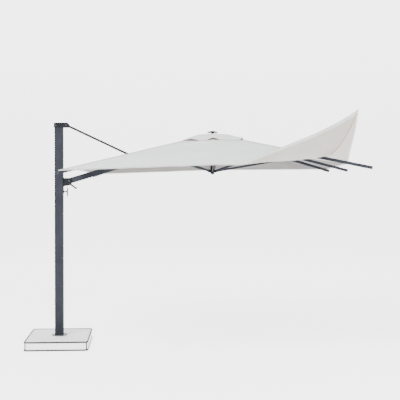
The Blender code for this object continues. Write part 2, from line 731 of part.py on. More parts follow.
def build_rib(name, materials, body):
    frame = side_frame(rib_pivot(name), rib_direction(name))
    length = rib_length(name)
    rib = add_piece("rib_" + name, extrusion(rib_outline(length), frame,
                                             -RIB_HALF_WIDTH, RIB_HALF_WIDTH),
                    materials["anthracite"], body)
    outside = RIB_HALF_WIDTH + 0.002
    blocks = []
    for low, high in ((-outside, -TONGUE_HALF_WIDTH), (TONGUE_HALF_WIDTH, outside)):
        blocks.append(box(frame, (-0.02, -0.03, low), (TONGUE_LENGTH, 0.03, high)))
    half_slot = STRUT_HALF_WIDTH + GAP * 2
    blocks.append(box(frame, (STRUT_STATION - 0.03, -0.05, -half_slot),
                      (STRUT_STATION + 0.03, -RIB_HALF_HEIGHT - GAP, half_slot)))
    cut(rib, merged(blocks))
    section = across_frame(rib_pivot(name), rib_direction(name))
    tip = extrusion(rounded_rectangle(*RIB_TIP_HALF, 0.004), section,
                    length + GAP, length + RIB_TIP_LENGTH)
    add_piece("rib_tip_" + name, tip, materials["black_grip"], body)


def build_strut(name, materials, body):
    head = strut_head(name)
    foot = strut_foot(name)
    length = (foot - head).length
    frame = side_frame(head, foot - head)
    outline = arc((0.0, 0.0), STRUT_EYE_RADIUS, 90, 270)
    outline += arc((length, 0.0), STRUT_EYE_RADIUS, -90, 90)
    add_piece("strut_" + name, extrusion(outline, frame, -STRUT_HALF_WIDTH, STRUT_HALF_WIDTH),
              materials["anthracite"], body)


# ---- Canopy ----

def line_of_fabric(name, share):
    """The fabric's middle line above a rib. The share runs from the hub's axis to the hem."""
    radius = tip_radius(name) * share
    fall = rib_fall(name)
    point = Vector((HUB_X, 0.0, 0.0)) + ray_direction(name) * radius
    point.z = RIB_PIVOT_Z - fall * (radius - RIB_PIVOT_RADIUS) + FABRIC_ABOVE_RIB
    return point


def smooth_rise(value):
    value = min(max(value, 0.0), 1.0)
    return value * value * (3.0 - 2.0 * value)


def past_fold(point, start, end):
    """How far a place lies past the line from start to end, in plan."""
    along = (Vector(end) - Vector(start)).normalized()
    return (point[0] - start[0]) * along.y - (point[1] - start[1]) * along.x


def turned_up(point, fraction):
    """The point's place once the unhooked corner is turned up past its fold."""
    fold = (FOLD_AT_SEAM, FOLD_AT_RIGHT)
    if point.x - HUB_X < -point.y:
        fold = (FOLD_AT_HEM, FOLD_AT_SEAM)
    flat_corner = line_of_fabric("near_right", 1.0)
    reach = past_fold(point, *fold) / past_fold(flat_corner, *fold)
    if reach <= 0.0:
        return point
    power = 1.0 + (SEAM_LIFT_POWER - 1.0) * fraction ** 2
    return point + (Vector(LOOSE_CORNER) - flat_corner) * reach ** power


def panel_edge(name, share, corner):
    """The panel's edge along a ray: on its rib, at the slit, or eased up beside the loose corner."""
    point = line_of_fabric(name, share)
    if name == "right_mid":
        point.z += RIGHT_HEM_LIFT * smooth_rise((share - RIGHT_LIFT_FROM) / (1.0 - RIGHT_LIFT_FROM))
    if name == "left_mid":
        side = math.copysign(1.0, ray_direction(corner).y)
        along = (point.x - SLIT_X[0]) / (SLIT_X[1] - SLIT_X[0])
        opening = SLIT_HALF_WIDTH * math.sin(math.pi * along) if 0.0 < along < 1.0 else 0.0
        point.y += side * (SLIT_CLOSED_HALF + opening)
    return point


def sheet(rows):
    """A closed thin solid whose middle surface has the given rows of points."""
    across = len(rows[0])
    half = Vector((0.0, 0.0, FABRIC_THICKNESS / 2))
    upper = [point + half for row in rows for point in row]
    lower = [point - half for row in rows for point in row]
    offset = len(upper)
    faces = []
    for row in range(len(rows) - 1):
        for column in range(across - 1):
            first = row * across + column
            square = [first, first + 1, first + across + 1, first + across]
            faces.append(square)
            faces.append([index + offset for index in reversed(square)])
    rim = list(range(across))
    rim += [row * across + across - 1 for row in range(1, len(rows))]
    rim += [(len(rows) - 1) * across + column for column in range(across - 2, -1, -1)]
    rim += [row * across for row in range(len(rows) - 2, 0, -1)]
    for index, first in enumerate(rim):
        second = rim[(index + 1) % len(rim)]
        faces.append([first, first + offset, second + offset, second])
    return upper + lower, faces


def build_panel(name, materials, body):
    middle, corner = PANELS[name]
    vent_share = VENT_HALF / CANOPY_HALF
    steps = SLIT_PANEL_STEPS if middle == "left_mid" else PLAIN_PANEL_STEPS
    columns = PLAIN_PANEL_ACROSS
    if corner == "near_right":
        steps = LOOSE_PANEL_STEPS
        columns = LOOSE_PANEL_ACROSS
    rows = []
    for step in range(steps + 1):
        share = vent_share + (1.0 - vent_share) * step / steps
        start = panel_edge(middle, share, corner)
        end = panel_edge(corner, share, corner)
        row = []
        for column in range(columns + 1):
            fraction = SEAM_SHARE + (1.0 - 2.0 * SEAM_SHARE) * column / columns
            point = start.lerp(end, fraction)
            if corner == "near_right":
                point = turned_up(point, fraction)
            row.append(point)
        rows.append(row)
    add_piece(name, sheet(rows), materials["canvas"], body)


def build_flap(name, materials, body):
    first, corner, last = FLAPS[name]
    low, high = (half / CANOPY_HALF for half in FLAP_HALF)
    lift = Vector((0.0, 0.0, FLAP_LIFT))
    steps = 5
    rows = []
    for step in range(steps + 1):
        share = low + (high - low) * step / steps
        edges = [line_of_fabric(ray, share) + lift for ray in (first, corner, last)]
        row = []
        for start, end in ((edges[0], edges[1]), (edges[2], edges[1])):
            side = [start.lerp(end, fraction) for fraction in (0.012, 0.35, 0.7)]
            row.append(side)
        rows.append(row[0] + [edges[1]] + list(reversed(row[1])))
    add_piece(name, sheet(rows), materials["canvas"], body)


def build_canopy(materials, hub):
    for name in RIBS:
        rib_body = make_body("rib_body_" + name, rib_pivot(name))
        strut_body = make_body("strut_body_" + name, strut_head(name))
        strut_body.parent = rib_body
        strut_body.matrix_parent_inverse = Matrix.Translation(-rib_body.location)
        rib_body.parent = hub
        rib_body.matrix_parent_inverse = Matrix.Translation(-hub.location)
        build_rib(name, materials, rib_body)
        build_strut(name, materials, strut_body)
        for panel, (_, corner) in PANELS.items():
            if corner == name:
                build_panel(panel, materials, rib_body)
        for flap, (_, corner, _) in FLAPS.items():
            if corner == name:
                build_flap(flap, materials, rib_body)


def main():
    clear_scene()
    materials = {name: make_material(name) for name in LOOKS}
    base = make_body("base_body", (0.0, 0.0, 0.0))
    mast = make_body("mast_body", (0.0, 0.0, MAST_BOTTOM_Z))
    carriage = make_body("carriage_body", (0.0, 0.0, BEAM_PIVOT[2]))
    clamp = make_body("clamp_body", (SHOE_FRONT_X, 0.0, CLAMP_Z))
    lever = make_body("lever_body", LEVER_PIVOT)
    beam = make_body("beam_body", BEAM_PIVOT)
    tie = make_body("tie_body", TIE_PIVOT)
    hub = make_body("hub_body", HUB_PIVOT)
    runner = make_body("runner_body", (HUB_X, 0.0, STRUT_RUNNER_Z))
    build_slab(materials, base)
    build_collar(materials, base)
    build_mast(materials, mast)
    build_cap(materials, mast)
    build_carriage(materials, carriage)
    build_clamp(materials, clamp)
    build_lever(materials, lever)
    build_beam(materials, beam)
    build_tie(materials, tie)
    build_hub(materials, hub)
    build_runner(materials, runner)
    build_canopy(materials, hub)


main()
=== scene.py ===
"""Cantilever parasol: canvas, coatings, stitching, small hardware, camera and studio."""

import json
import math

import bmesh
import bpy
from mathutils import Matrix, Vector, noise


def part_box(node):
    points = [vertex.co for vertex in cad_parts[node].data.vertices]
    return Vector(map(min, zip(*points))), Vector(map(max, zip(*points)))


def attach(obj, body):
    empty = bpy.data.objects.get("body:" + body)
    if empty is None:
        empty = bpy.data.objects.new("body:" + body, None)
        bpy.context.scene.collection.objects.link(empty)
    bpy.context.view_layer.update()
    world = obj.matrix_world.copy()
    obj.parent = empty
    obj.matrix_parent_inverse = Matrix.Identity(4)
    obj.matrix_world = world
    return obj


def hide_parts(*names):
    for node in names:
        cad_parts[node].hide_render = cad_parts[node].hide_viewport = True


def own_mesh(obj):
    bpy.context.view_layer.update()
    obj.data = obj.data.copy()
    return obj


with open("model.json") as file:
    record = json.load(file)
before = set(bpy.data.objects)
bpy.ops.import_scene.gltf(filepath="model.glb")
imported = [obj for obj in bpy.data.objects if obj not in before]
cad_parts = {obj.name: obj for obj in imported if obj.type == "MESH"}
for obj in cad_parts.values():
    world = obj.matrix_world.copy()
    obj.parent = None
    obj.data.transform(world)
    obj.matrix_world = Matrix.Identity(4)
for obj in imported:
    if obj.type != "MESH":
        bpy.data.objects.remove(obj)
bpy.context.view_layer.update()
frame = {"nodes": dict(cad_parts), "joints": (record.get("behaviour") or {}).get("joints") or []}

DEGREES = math.pi / 180.0
UP = Vector((0.0, 0.0, 1.0))

# Canopy, metres
CANOPY_HALF = 1.500
VENT_HALF = 0.200
FLAP_INNER_HALF = 0.030
FLAP_OUTER_HALF = 0.325
FLAP_CLEARANCE = 0.0024
FLAP_PUFF = 0.019
PUFF_FROM = 0.055
FLAP_GAP = 0.019
FLAP_INNER_LIFT = 0.0085
FABRIC_ABOVE_RIB = 0.0190
CANVAS_THICKNESS = 0.0016
SLIT_X = (0.680, 0.960)
SLIT_HALF_WIDTH = 0.040
LOOSE_CORNER = Vector((3.104, -1.470, 2.511))
FOLD_AT_HEM = (1.930, -1.500)
FOLD_AT_SEAM = (2.830, -1.110)
FOLD_AT_RIGHT = (3.220, -0.100)
SEAM_LIFT_POWER = 1.45
RIGHT_LIFT_FROM = 0.65
RIGHT_HEM_LIFT = 0.050
LEFT_FALL = 0.2707
ROWS = 56
COLUMNS = 28
FLAP_ROWS = 16
FLAP_COLUMNS = 48
PIPING_STEPS = 60
CORD_STEPS = 30
SLIT_STEPS = 40
TAPE_STEPS = 50
SAG_SHARE = 0.016
HEM_WIDTH = 0.026
HEM_CUT = 0.008
HEM_CUT_FROM = 0.86
TAPE_WIDTH = 0.011
TAPE_LIFT = 0.0018
PIPING_RADIUS = 0.0036
PIPING_LIFT = 0.0022
CORD_SHARES = (0.78, 0.985)
CORD_RADIUS = 0.0042
CORD_DROP = 0.0030
FLAP_BINDING_RADIUS = 0.0030
FLAP_SEAM_RADIUS = 0.0026
FLAP_SEAM_LIFT = 0.0012
SLIT_BINDING_RADIUS = 0.0032
SLIT_BINDING_PAST = 0.02
TAPE_THICKNESS = 0.0012

# Wrinkles and ripples: heights in metres, reaches as shares of the canopy
BROAD_WRINKLE = 0.0050
RIB_WRINKLE = 0.0016
RIB_WRINKLE_WAVES = 46.0
RIB_WRINKLE_REACH = 0.10
HEM_WRINKLE = 0.0030
HEM_WRINKLE_WAVES = 30.0
HEM_WRINKLE_REACH = 0.22
LOOSE_WRINKLE = 0.010
FLAP_RIPPLE = 0.0035
FLAP_EDGE_FROM = 0.23

# Stitching, metres
STITCH_RADIUS = 0.0007
STITCH_SPAN = (0.18, 0.82)
HEM_STITCHES = 260
SEAM_STITCHES = 170
STITCH_OFFSET = 0.013
HEM_STITCH_LIFT = 0.0030
SEAM_STITCH_LIFT = 0.0016
PANEL_WIDTH_SHARE = 0.72

# Slab and its trim, metres
SLAB_HALF = (0.340, 0.475)
SLAB_CORNER_RADIUS = 0.040
SLAB_TURN_DEG = 3.7
TRIM_RADIUS = 0.0085
TRIM_SUNK = TRIM_RADIUS * 0.2

# Mast profile, metres
MAST_WALL = 0.005
MAST_TRACK_HALF = 0.008
MAST_CORNER_RADIUS = 0.004
FLUTE_DEPTH = 0.0016
SIDE_FLUTES = (0.026, 0.0, -0.026)
SIDE_FLUTE_HALF = (0.0045, 0.0030)
BACK_FLUTES = (0.014, -0.014)
BACK_FLUTE_HALF = (0.004, 0.0026)

# Rivets and screws, metres
STRUT_RIVET = (0.0055, 0.0028)
STRUT_RIVET_FROM_AXIS = 0.008
RIB_RIVET = (0.0042, 0.0008)
RIB_RIVET_FROM_AXIS = 0.004
COLLAR_SCREWS = 6
COLLAR_SCREW_CIRCLE = 0.0715
COLLAR_SCREW_PROFILE = ((0.0, 0.0), (0.0055, 0.0), (0.0055, 0.0040), (0.0050, 0.0046),
                        (0.0028, 0.0046), (0.0028, 0.0025), (0.0, 0.0025))
CAP_SCREW = (0.0060, 0.0022)
CAP_SCREW_X = -0.030
CAP_SCREW_DROP = 0.034
FORK_PIN_HEAD = (0.0085, 0.0035)
FORK_PIN_X = 0.905
FORK_PIN_Z = 2.067

# Each ray of the canopy: azimuth in degrees and whether it reaches a corner
RAYS = {
    "left_mid": (180, False),
    "near_left": (225, True),
    "near_mid": (270, False),
    "near_right": (315, True),
    "right_mid": (0, False),
    "far_right": (45, True),
    "far_mid": (90, False),
    "far_left": (135, True),
}
RIBS = [name for name in RAYS if name != "left_mid"]

# Each quarter: its two middle rays and the CAD panels that it stands for
QUARTERS = {
    "near_left": ("left_mid", "near_mid", ("canopy_left_near", "canopy_near_left")),
    "near_right": ("near_mid", "right_mid", ("canopy_near_right", "canopy_right_near")),
    "far_right": ("right_mid", "far_mid", ("canopy_right_far", "canopy_far_right")),
    "far_left": ("far_mid", "left_mid", ("canopy_far_left", "canopy_left_far")),
}

# Where each vent flap's edge lifts off the canopy, as places across the flap
FLAP_GAPS = {
    "near_left": ((-0.70, -0.35), (0.05, 0.51), (0.81, 1.20)),
    "near_right": ((-1.20, -0.79), (-0.09, 0.09), (0.30, 0.62)),
    "far_right": ((-0.66, -0.30), (0.36, 0.74)),
    "far_left": ((-0.72, -0.40), (0.28, 0.60)),
}

# Camera and studio
CAMERA_PLACE = (1.5790, -10.45, 1.773)
CAMERA_DROP_DEG = 0.86
CAMERA_LENS = 83.9
SENSOR_WIDTH = 36.0
BACKDROP_GLOW = 2.6
WORLD_STRENGTH = 0.80
KEY_POWER = 1700.0
FILL_POWER = 500.0
FLOOR_FRONT_Y = -30.0
FLOOR_BACK_Y = 9.0
FLOOR_CURVE_RADIUS = 6.0
FLOOR_HALF_WIDTH = 40.0
BACKDROP_TOP_Z = 22.0


# ---- Materials ----

class Shader:
    """A material's node tree with short calls for the nodes used here."""

    def __init__(self, name):
        self.material = bpy.data.materials.new(name)
        self.material.use_nodes = True
        self.nodes = self.material.node_tree.nodes
        self.links = self.material.node_tree.links
        self.surface = self.nodes["Principled BSDF"]
        self.place = self.nodes.new("ShaderNodeTexCoord").outputs["Object"]

    def noise(self, scale, detail=4.0, roughness=0.55, stretch=(1.0, 1.0, 1.0)):
        """Noise from 0 to 1 in the piece's own space."""
        mapping = self.nodes.new("ShaderNodeMapping")
        mapping.inputs["Scale"].default_value = stretch
        self.links.new(self.place, mapping.inputs["Vector"])
        texture = self.nodes.new("ShaderNodeTexNoise")
        texture.inputs["Scale"].default_value = scale
        texture.inputs["Detail"].default_value = detail
        texture.inputs["Roughness"].default_value = roughness
        self.links.new(mapping.outputs["Vector"], texture.inputs["Vector"])
        return texture.outputs["Fac"]

    def threads(self, scale, axis):
        """Slightly uneven bands across one axis."""
        wave = self.nodes.new("ShaderNodeTexWave")
        wave.bands_direction = axis
        wave.inputs["Scale"].default_value = scale
        wave.inputs["Distortion"].default_value = 0.6
        wave.inputs["Detail"].default_value = 1.0
        self.links.new(self.place, wave.inputs["Vector"])
        return wave.outputs["Fac"]

    def ramp(self, value, stops):
        ramp = self.nodes.new("ShaderNodeValToRGB")
        ramp.color_ramp.elements[0].position = stops[0][0]
        ramp.color_ramp.elements[0].color = (*stops[0][1], 1.0)
        ramp.color_ramp.elements[1].position = stops[-1][0]
        ramp.color_ramp.elements[1].color = (*stops[-1][1], 1.0)
        for position, colour in stops[1:-1]:
            ramp.color_ramp.elements.new(position).color = (*colour, 1.0)
        self.links.new(value, ramp.inputs["Fac"])
        return ramp.outputs["Color"]

    def spread(self, value, low, high):
        """The value, from 0 to 1, spread between two numbers."""
        node = self.nodes.new("ShaderNodeMapRange")
        node.inputs["To Min"].default_value = low
        node.inputs["To Max"].default_value = high
        self.links.new(value, node.inputs["Value"])
        return node.outputs["Result"]

    def combine(self, first, second, operation="MULTIPLY"):
        node = self.nodes.new("ShaderNodeMath")
        node.operation = operation
        self.links.new(first, node.inputs[0])
        self.links.new(second, node.inputs[1])
        return node.outputs["Value"]

    def bump(self, height, strength, distance, normal=None):
        node = self.nodes.new("ShaderNodeBump")
        node.inputs["Strength"].default_value = strength
        node.inputs["Distance"].default_value = distance
        self.links.new(height, node.inputs["Height"])
        if normal is not None:
            self.links.new(normal, node.inputs["Normal"])
        return node.outputs["Normal"]

    def finish(self, colour, roughness, normal, **constants):
        """Link the three textures and set the other sockets, named with underscores for spaces."""
        self.links.new(colour, self.surface.inputs["Base Color"])
        self.links.new(roughness, self.surface.inputs["Roughness"])
        self.links.new(normal, self.surface.inputs["Normal"])
        for name, value in constants.items():
            self.surface.inputs[name.replace("_", " ")].default_value = value
        return self.material


def canvas_material(name, dark, light, thread_scale=260.0):
    """Woven cloth: mottled colour, uneven yarn, weave and soft creases."""
    shader = Shader(name)
    mottle = shader.noise(3.2, 6.0, 0.62)
    colour = shader.ramp(mottle, [(0.30, dark), (0.72, light)])
    slub = shader.noise(420.0, 2.0, 0.5, (1.0, 0.12, 1.0))
    roughness = shader.spread(slub, 0.82, 0.96)
    weave = shader.combine(shader.threads(thread_scale, "X"), shader.threads(thread_scale, "Y"))
    creases = shader.noise(9.0, 5.0, 0.5, (1.0, 1.0, 0.4))
    normal = shader.bump(weave, 0.22, 0.0005)
    normal = shader.bump(creases, 0.12, 0.012, normal)
    return shader.finish(colour, roughness, normal, Sheen_Weight=0.15, Sheen_Roughness=0.5)


def coated_material(name, dark, light, grain=900.0, rough=(0.55, 0.72), metallic=0.0):
    """Powder coat: fine grain, slight cloudiness and rubbed lighter patches."""
    shader = Shader(name)
    cloud = shader.noise(7.0, 5.0, 0.6)
    colour = shader.ramp(cloud, [(0.30, dark), (0.66, light), (0.90, [c * 1.25 for c in light])])
    roughness = shader.spread(shader.noise(35.0, 4.0, 0.6), *rough)
    peel = shader.noise(grain, 2.0, 0.5)
    normal = shader.bump(peel, 0.10, 0.0004)
    return shader.finish(colour, roughness, normal, Metallic=metallic, Specular_IOR_Level=0.08)


def moulded_material(name, dark, light):
    """Finely textured moulded plastic."""
    shader = Shader(name)
    colour = shader.ramp(shader.noise(60.0, 4.0), [(0.35, dark), (0.70, light)])
    roughness = shader.spread(shader.noise(180.0, 3.0), 0.50, 0.72)
    normal = shader.bump(shader.noise(700.0, 2.0), 0.25, 0.0004)
    return shader.finish(colour, roughness, normal, Specular_IOR_Level=0.25)


def plated_material(name):
    """Dark plated steel with faint streaks."""
    shader = Shader(name)
    streaks = shader.noise(140.0, 3.0, 0.6, (1.0, 8.0, 1.0))
    colour = shader.ramp(streaks, [(0.35, (0.060, 0.064, 0.072)), (0.70, (0.105, 0.110, 0.120))])
    roughness = shader.spread(streaks, 0.24, 0.42)
    normal = shader.bump(streaks, 0.15, 0.0002)
    return shader.finish(colour, roughness, normal, Metallic=0.95)


def stone_material(name, dark, light):
    """Mottled cast stone with small pores."""
    shader = Shader(name)
    mottle = shader.noise(14.0, 8.0, 0.7)
    colour = shader.ramp(mottle, [(0.30, dark), (0.70, light)])
    roughness = shader.spread(shader.noise(60.0, 4.0), 0.72, 0.92)
    pores = shader.noise(170.0, 6.0, 0.7)
    normal = shader.bump(pores, 0.25, 0.0012)
    return shader.finish(colour, roughness, normal)


def make_materials():
    """Every finish. The inner faces are painted shade, darker than the cloth, because the studio floor
    glows; the turned-up corner's inner face is a lighter painted shade, as if lit.
    """
    return {
        "canvas": canvas_material("canvas_off_white", (0.640, 0.662, 0.672), (0.740, 0.758, 0.768)),
        # painted shade: the cloth's inner face, far darker than the off-white canvas really is, stands in
        # for the shade under the canopy
        "canvas_inside_painted_shade": canvas_material("canvas_inner_face_painted_shade", (0.058, 0.053, 0.046),
                                         (0.082, 0.075, 0.066)),
        # painted light and shade: the turned-up corner's inner face, darker than the real cloth but
        # lighter than the other inner faces, as if lit
        "canvas_turned_up_painted_light": canvas_material("canvas_inner_face_painted_light", (0.285, 0.262, 0.235),
                                            (0.365, 0.338, 0.306)),
        "tape": canvas_material("canvas_tape", (0.400, 0.396, 0.385), (0.480, 0.474, 0.462), 420.0),
        # painted warm light: the tan stands in for the orange glint along the loose corner's seam and the
        # warm-lit gaps under the vent flaps' edges
        "cord": canvas_material("tan_cord_painted_warm_light", (0.330, 0.215, 0.125), (0.420, 0.290, 0.180), 500.0),
        "thread": canvas_material("sewing_thread", (0.430, 0.420, 0.400), (0.520, 0.505, 0.480), 900.0),
        "anthracite": coated_material("anthracite_coat", (0.018, 0.020, 0.026), (0.026, 0.029, 0.037)),
        "casting": coated_material("casting_coat", (0.008, 0.009, 0.011), (0.014, 0.015, 0.018), 500.0,
                                   (0.60, 0.75)),
        "plastic": moulded_material("moulded_plastic", (0.018, 0.019, 0.022), (0.032, 0.034, 0.038)),
        "plated": plated_material("plated_steel"),
        "stone": stone_material("pale_stone", (0.84, 0.84, 0.84), (0.90, 0.90, 0.90)),
        "trim": moulded_material("edge_trim", (0.010, 0.010, 0.010), (0.016, 0.016, 0.017)),
    }


# ---- Meshes ----

def arc(centre, radius, start_deg, end_deg, steps):
    """Points along a circular arc in the plane."""
    points = []
    for index in range(steps + 1):
        angle = (start_deg + (end_deg - start_deg) * index / steps) * DEGREES
        points.append((centre[0] + radius * math.cos(angle), centre[1] + radius * math.sin(angle)))
    return points


def make_piece(name, points, faces, material, body, smooth_deg=40.0):
    """A new piece in world coordinates that rides on a body."""
    mesh = bpy.data.meshes.new(name)
    mesh.from_pydata([tuple(point) for point in points], [], faces)
    shape = bmesh.new()
    shape.from_mesh(mesh)
    bmesh.ops.recalc_face_normals(shape, faces=shape.faces)
    shape.to_mesh(mesh)
    shape.free()
    mesh.shade_smooth()
    mesh.set_sharp_from_angle(angle=smooth_deg * DEGREES)
    mesh.materials.append(material)
    piece = bpy.data.objects.new(name, mesh)
    bpy.context.collection.objects.link(piece)
    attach(piece, body)
    return piece


def bake_modifiers(piece):
    """Apply the piece's modifiers to its mesh."""
    bpy.context.view_layer.update()
    evaluated = piece.evaluated_get(bpy.context.evaluated_depsgraph_get())
    mesh = bpy.data.meshes.new_from_object(evaluated)
    piece.modifiers.clear()
    piece.data = mesh


def give_underside_painted_shade(piece, material):
    """Give the piece's downward faces a second material, which paints shade on them."""
    piece.data.materials.append(material)
    for face in piece.data.polygons:
        if face.normal.z < 0.0:
            face.material_index = 1


def thicken(piece, thickness):
    """Turn a surface into a closed sheet, half of its thickness on each side."""
    modifier = piece.modifiers.new("Solidify", "SOLIDIFY")
    modifier.thickness = thickness
    modifier.offset = 0.0
    bake_modifiers(piece)
    piece.data.shade_smooth()
    piece.data.set_sharp_from_angle(angle=50.0 * DEGREES)


def grid_faces(rows, columns):
    """Four-sided faces over points laid out row by row."""
    faces = []
    for row in range(rows - 1):
        for column in range(columns - 1):
            first = row * columns + column
            faces.append([first, first + 1, first + columns + 1, first + columns])
    return faces


def ring_faces(rings, steps):
    """Four-sided faces between closed rings of points laid out ring by ring."""
    faces = []
    for ring in range(rings - 1):
        base = ring * steps
        for step in range(steps):
            after = (step + 1) % steps
            faces.append([base + step, base + after, base + steps + after, base + steps + step])
    return faces


def turned(profile, origin, axis, steps=24):
    """A closed solid of revolution. The profile is (radius, height) and starts and ends on the axis."""
    direction = Vector(axis).normalized()
    side = direction.orthogonal().normalized()
    other = direction.cross(side)
    centre = Vector(origin)
    points = [centre + direction * profile[0][1]]
    for radius, height in profile[1:-1]:
        for index in range(steps):
            angle = 2.0 * math.pi * index / steps
            spoke = side * math.cos(angle) + other * math.sin(angle)
            points.append(centre + direction * height + spoke * radius)
    points.append(centre + direction * profile[-1][1])
    faces = []
    rings = len(profile) - 2
    for index in range(steps):
        after = (index + 1) % steps
        faces.append([0, 1 + after, 1 + index])
        for ring in range(rings - 1):
            base = 1 + ring * steps
            faces.append([base + index, base + after, base + steps + after, base + steps + index])
        base = 1 + (rings - 1) * steps
        faces.append([base + index, base + after, len(points) - 1])
    return points, faces


def tube_along(route, radius, steps=8):
    """A closed round tube along a route, with the same up direction at each point."""
    points = []
    for index, point in enumerate(route):
        before = route[max(index - 1, 0)]
        after = route[min(index + 1, len(route) - 1)]
        along = (after - before).normalized()
        side = along.cross(UP)
        side = side.normalized() if side.length > 1e-5 else Vector((1.0, 0.0, 0.0))
        upward = side.cross(along).normalized()
        for step in range(steps):
            angle = 2.0 * math.pi * step / steps
            points.append(point + side * radius * math.cos(angle) + upward * radius * math.sin(angle))
    faces = ring_faces(len(route), steps)
    faces.append(list(range(steps - 1, -1, -1)))
    faces.append([(len(route) - 1) * steps + step for step in range(steps)])
    return points, faces


def merged(solids):
    """Several (points, faces) solids as one."""
    points = []
    faces = []
    for solid_points, solid_faces in solids:
        offset = len(points)
        points += solid_points
        faces += [[index + offset for index in face] for face in solid_faces]
    return points, faces


# ---- The canopy's geometry, from the frame's ribs ----

JOINTS = {joint["name"]: joint for joint in frame["joints"]}
HUB_X = sum(Vector(JOINTS["rib_fold_" + name]["pos_m"]).x for name in ("near_mid", "far_mid")) / 2.0


def centre_of(node):
    low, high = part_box(node)
    return (Vector(low) + Vector(high)) / 2.0


def ray_direction(name):
    azimuth = RAYS[name][0] * DEGREES
    return Vector((math.cos(azimuth), math.sin(azimuth), 0.0))


def rib_pivot(name):
    return Vector(JOINTS["rib_fold_" + name]["pos_m"])


PIVOT_RADIUS = (rib_pivot("right_mid") - Vector((HUB_X, 0.0, 0.0))).dot(ray_direction("right_mid"))
PIVOT_Z = rib_pivot("right_mid").z


def fall_of(name):
    """How steeply the fabric falls along a ray, from the rib's pivot to its tip."""
    if name == "left_mid":
        return LEFT_FALL
    run = centre_of("rib_tip_" + name) - rib_pivot(name)
    return -run.z / math.hypot(run.x, run.y)


FALLS = {name: fall_of(name) for name in RAYS}


def hem_radius(name):
    return CANOPY_HALF * (math.sqrt(2.0) if RAYS[name][1] else 1.0)


def line_of_fabric(name, share):
    """The fabric's straight line above a ray, at a share of the way from the hub to the hem."""
    radius = hem_radius(name) * share
    point = Vector((HUB_X, 0.0, 0.0)) + ray_direction(name) * radius
    point.z = PIVOT_Z - FALLS[name] * (radius - PIVOT_RADIUS) + FABRIC_ABOVE_RIB
    return point


def raised(point, height):
    """The point moved straight up."""
    return point + Vector((0.0, 0.0, height))


def smooth_rise(value):
    """An S-shaped step from 0 to 1."""
    value = min(max(value, 0.0), 1.0)
    return value * value * (3.0 - 2.0 * value)


def past_fold(point, start, end):
    """How far a place lies past the line from start to end, in plan."""
    along = (Vector(end) - Vector(start)).normalized()
    return (point[0] - start[0]) * along.y - (point[1] - start[1]) * along.x


def turned_up(point, fraction):
    """The point's place once the unhooked corner is turned up past its fold."""
    fold = (FOLD_AT_SEAM, FOLD_AT_RIGHT)
    if point.x - HUB_X < -point.y:
        fold = (FOLD_AT_HEM, FOLD_AT_SEAM)
    flat_corner = line_of_fabric("near_right", 1.0)
    reach = past_fold(point, *fold) / past_fold(flat_corner, *fold)
    if reach <= 0.0:
        return point
    power = 1.0 + (SEAM_LIFT_POWER - 1.0) * fraction ** 2
    return point + (LOOSE_CORNER - flat_corner) * reach ** power


def panel_edge(name, share, quarter):
    """The fabric's line above a rib, at the slit, or eased up beside the loose corner."""
    point = line_of_fabric(name, share)
    if name == "right_mid":
        point.z += RIGHT_HEM_LIFT * smooth_rise((share - RIGHT_LIFT_FROM) / (1.0 - RIGHT_LIFT_FROM))
    if name == "left_mid":
        side = math.copysign(1.0, ray_direction(quarter).y)
        along = (point.x - SLIT_X[0]) / (SLIT_X[1] - SLIT_X[0])
        if 0.0 < along < 1.0:
            point.y += side * SLIT_HALF_WIDTH * math.sin(math.pi * along)
    return point


def fabric_point(quarter, share, across):
    """A point of the sagging canvas. Across runs from -1 to 1 with the corner rib at 0."""
    first, last, _ = QUARTERS[quarter]
    middle = first if across < 0.0 else last
    fraction = 1.0 - abs(across)
    start = panel_edge(middle, share, quarter)
    end = panel_edge(quarter, share, quarter)
    point = start.lerp(end, fraction)
    width = (end - start).length
    hollow = 4.0 * fraction * (1.0 - fraction)
    point.z -= SAG_SHARE * width * hollow * (1.0 - share ** 3)
    inward = (start + end) / 2.0 - Vector((HUB_X, 0.0, point.z))
    inward.z = 0.0
    near_hem = smooth_rise((share - HEM_CUT_FROM) / (1.0 - HEM_CUT_FROM))
    point -= inward.normalized() * HEM_CUT * hollow * near_hem
    if quarter == "near_right":
        point = turned_up(point, fraction)
    return raised(point, wrinkle(quarter, share, across, fraction))


def wrinkle(quarter, share, across, fraction):
    """Small pull lines: along the ribs, out of the hem's corners, and more at the loose corner."""
    edge = 1.0 - share
    hold = min(1.0, 8.0 * min(fraction, 1.0 - fraction) * share)
    seed = RAYS[quarter][0] * 0.37 + (3.1 if across > 0.0 else 0.0)
    broad = noise.noise(Vector((share * 3.0 + seed, fraction * 4.0, seed)))
    along_rib = math.sin(share * RIB_WRINKLE_WAVES + seed)
    along_rib *= math.exp(-((1.0 - fraction) / RIB_WRINKLE_REACH) ** 2)
    pull = math.sin(fraction * HEM_WRINKLE_WAVES + seed) * math.exp(-(edge / HEM_WRINKLE_REACH) ** 2)
    amount = BROAD_WRINKLE * broad + RIB_WRINKLE * along_rib + HEM_WRINKLE * pull
    if quarter == "near_right":
        loose = noise.noise(Vector((share * 4.0, across * 3.0, 7.7)))
        amount += LOOSE_WRINKLE * loose * smooth_rise(share)
    taut = 1.0 - 0.75 * share ** 8
    return amount * hold * taut


# ---- Canopy pieces ----

def tangent(name):
    """The level direction square to a ray."""
    return UP.cross(ray_direction(name))


def soften(piece):
    """Give the piece its own copy of its mesh."""
    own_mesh(piece)


def shares(count, low=VENT_HALF / CANOPY_HALF, high=1.0):
    """Even shares of the way out, from the vent's edge to the hem unless told otherwise."""
    return [low + (high - low) * index / (count - 1) for index in range(count)]


def steps_across(count):
    """Even places across a quarter, from -1 to 1."""
    return [-1.0 + 2.0 * index / count for index in range(count + 1)]


